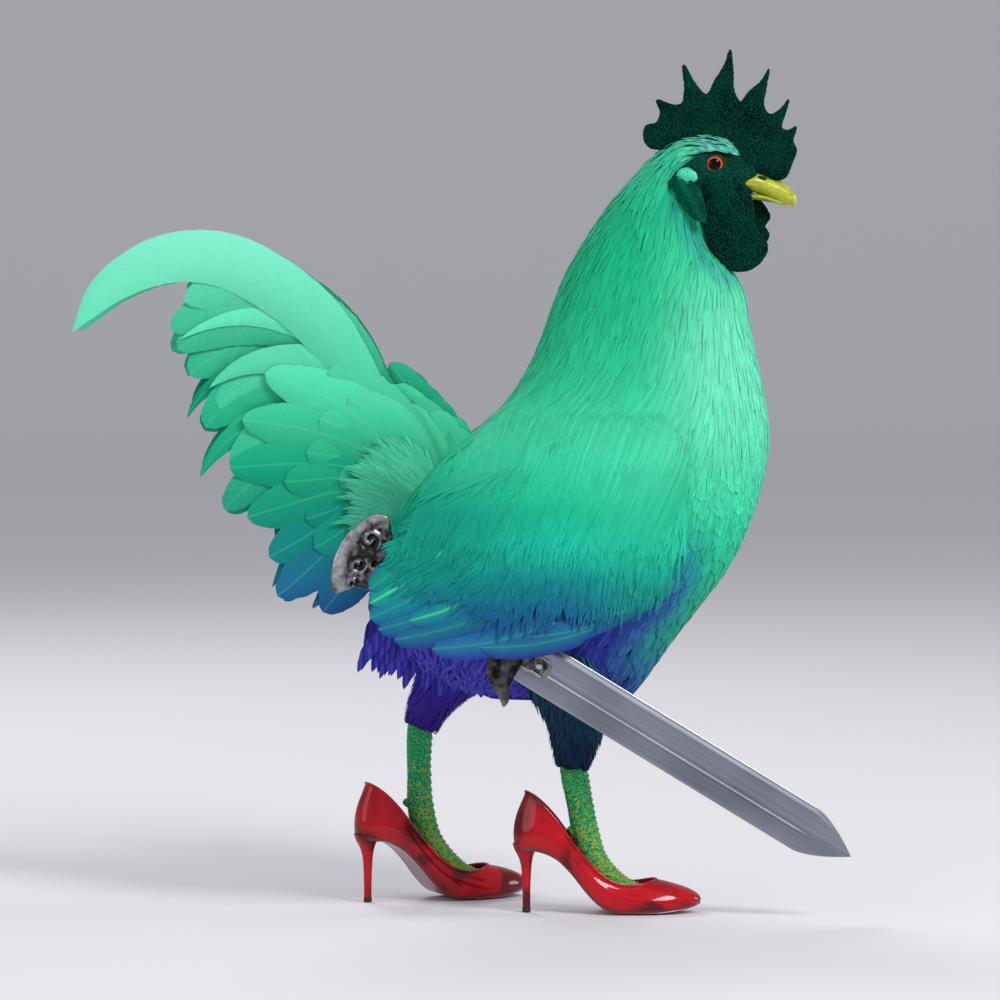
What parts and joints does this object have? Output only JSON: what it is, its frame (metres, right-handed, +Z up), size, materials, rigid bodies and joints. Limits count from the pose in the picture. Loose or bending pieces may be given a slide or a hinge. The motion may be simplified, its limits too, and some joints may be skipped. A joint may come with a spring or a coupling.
{
  "type": "rubber rooster prop",
  "caption": "Life-size rooster stage prop in high-heeled pumps with a short sword under its wing; its head, beak, wings, tail and legs move.",
  "frame": {"origin": "centre of the whole object's box, on the floor that the shoes stand on", "axes": "+X forwards to the beak, +Y to the bird's left, +Z up"},
  "size_m": [0.5402, 0.1952, 0.6],
  "materials": {
    "shell": "moulded rubber under green plumage",
    "hackle": "long mint hackle feathers",
    "plume": "mint tail feathers that turn teal and violet towards their tips",
    "wing": "green to blue-violet wing feathers",
    "fluff": "violet down over moulded rubber",
    "comb": "pebbled dark green rubber",
    "eye": "clear cast eye with an orange-red iris",
    "beak": "satin yellow horn",
    "leg": "scaled green rubber with yellow specks",
    "patent": "mirror-gloss red patent",
    "steel": "plain brushed steel armature",
    "blade": "worn brushed blade",
    "hilt": "darkened cast metal with rubbed edges",
    "plastic": "moulded plastic"
  },
  "bodies": {
    "torso": {"body_shell_left": "shell", "body_shell_right": "shell", "spine_bar": "steel", "neck_post": "steel", "pelvis_block": "steel", "hip_axle": "steel", "hip_nut_right": "steel", "hip_nut_left": "steel", "frame_bolt_rear": "steel", "frame_bolt_front": "steel", "tail_bracket": "steel", "tail_pin": "steel", "shoulder_bracket_right": "steel", "shoulder_bracket_left": "steel", "shoulder_pin_right": "steel", "shoulder_pin_left": "steel", "sword_magnet": "steel", "squeaker": "plastic", "hackle_cape": "hackle"},
    "head": {"head_shell": "hackle", "head_swivel": "plastic", "comb": "comb", "wattle_right": "comb", "wattle_left": "comb", "ear_lobe_right": "comb", "ear_lobe_left": "comb", "eye_right": "eye", "eye_left": "eye", "beak_upper": "beak", "jaw_pin": "steel"},
    "jaw": {"beak_lower": "beak"},
    "wing_right": {"wing_panel_right": "wing", "wing_flight_feathers_right": "wing", "wing_hinge_leaf_right": "steel"},
    "wing_left": {"wing_panel_left": "wing", "wing_flight_feathers_left": "wing", "wing_hinge_leaf_left": "steel"},
    "tail": {"tail_block": "plastic", "tail_fan_right": "plume", "tail_fan_left": "plume", "sickle_feather_right": "plume", "sickle_feather_left": "plume"},
    "leg_right": {"thigh_right": "fluff", "shank_right": "leg", "foot_right": "leg"},
    "leg_left": {"thigh_left": "fluff", "shank_left": "leg", "foot_left": "leg"},
    "shoe_right": {"shoe_upper_right": "patent", "shoe_sole_right": "patent", "shoe_heel_right": "patent", "heel_tip_right": "plastic"},
    "shoe_left": {"shoe_upper_left": "patent", "shoe_sole_left": "patent", "shoe_heel_left": "patent", "heel_tip_left": "plastic"},
    "sword": {"sword_blade": "blade", "sword_guard": "hilt", "sword_grip": "hilt", "sword_pommel": "hilt"}
  },
  "joints": [
    {"name": "head_turn", "type": "hinge", "parent": "torso", "child": "head", "pos_m": [0.15, 0, 0.48], "axis": [0.2588, 0, 0.9659], "range_deg": [-30, 30]},
    {"name": "jaw_open", "type": "hinge", "parent": "head", "child": "jaw", "pos_m": [0.201, 0, 0.496], "axis": [0, 1, 0], "range_deg": [0, 15], "stiffness_Nm_per_rad": 0.003, "springref_deg": -11.46},
    {"name": "wing_right_lift", "type": "hinge", "parent": "torso", "child": "wing_right", "pos_m": [0.098, -0.066, 0.316], "axis": [-1, 0, 0], "range_deg": [0, 60]},
    {"name": "wing_left_lift", "type": "hinge", "parent": "torso", "child": "wing_left", "pos_m": [0.098, 0.066, 0.316], "axis": [1, 0, 0], "range_deg": [0, 60]},
    {"name": "sword_draw", "type": "slide", "parent": "torso", "child": "sword", "axis": [-0.8526, 0, 0.5225], "range_m": [0, 0.3]},
    {"name": "tail_lift", "type": "hinge", "parent": "torso", "child": "tail", "pos_m": [-0.042, 0, 0.292], "axis": [0, 1, 0], "range_deg": [-15, 10]},
    {"name": "leg_right_swing", "type": "hinge", "parent": "torso", "child": "leg_right", "pos_m": [0.056, -0.036, 0.224], "axis": [0, 1, 0], "range_deg": [-15, 15]},
    {"name": "leg_left_swing", "type": "hinge", "parent": "torso", "child": "leg_left", "pos_m": [0.056, 0.036, 0.224], "axis": [0, 1, 0], "range_deg": [-15, 15]},
    {"name": "shoe_right_off", "type": "slide", "parent": "leg_right", "child": "shoe_right", "axis": [0.5736, 0, -0.8192], "range_m": [0, 0.03]},
    {"name": "shoe_left_off", "type": "slide", "parent": "leg_left", "child": "shoe_left", "axis": [0.5318, 0.2149, -0.8192], "range_m": [0, 0.03]}
  ]
}
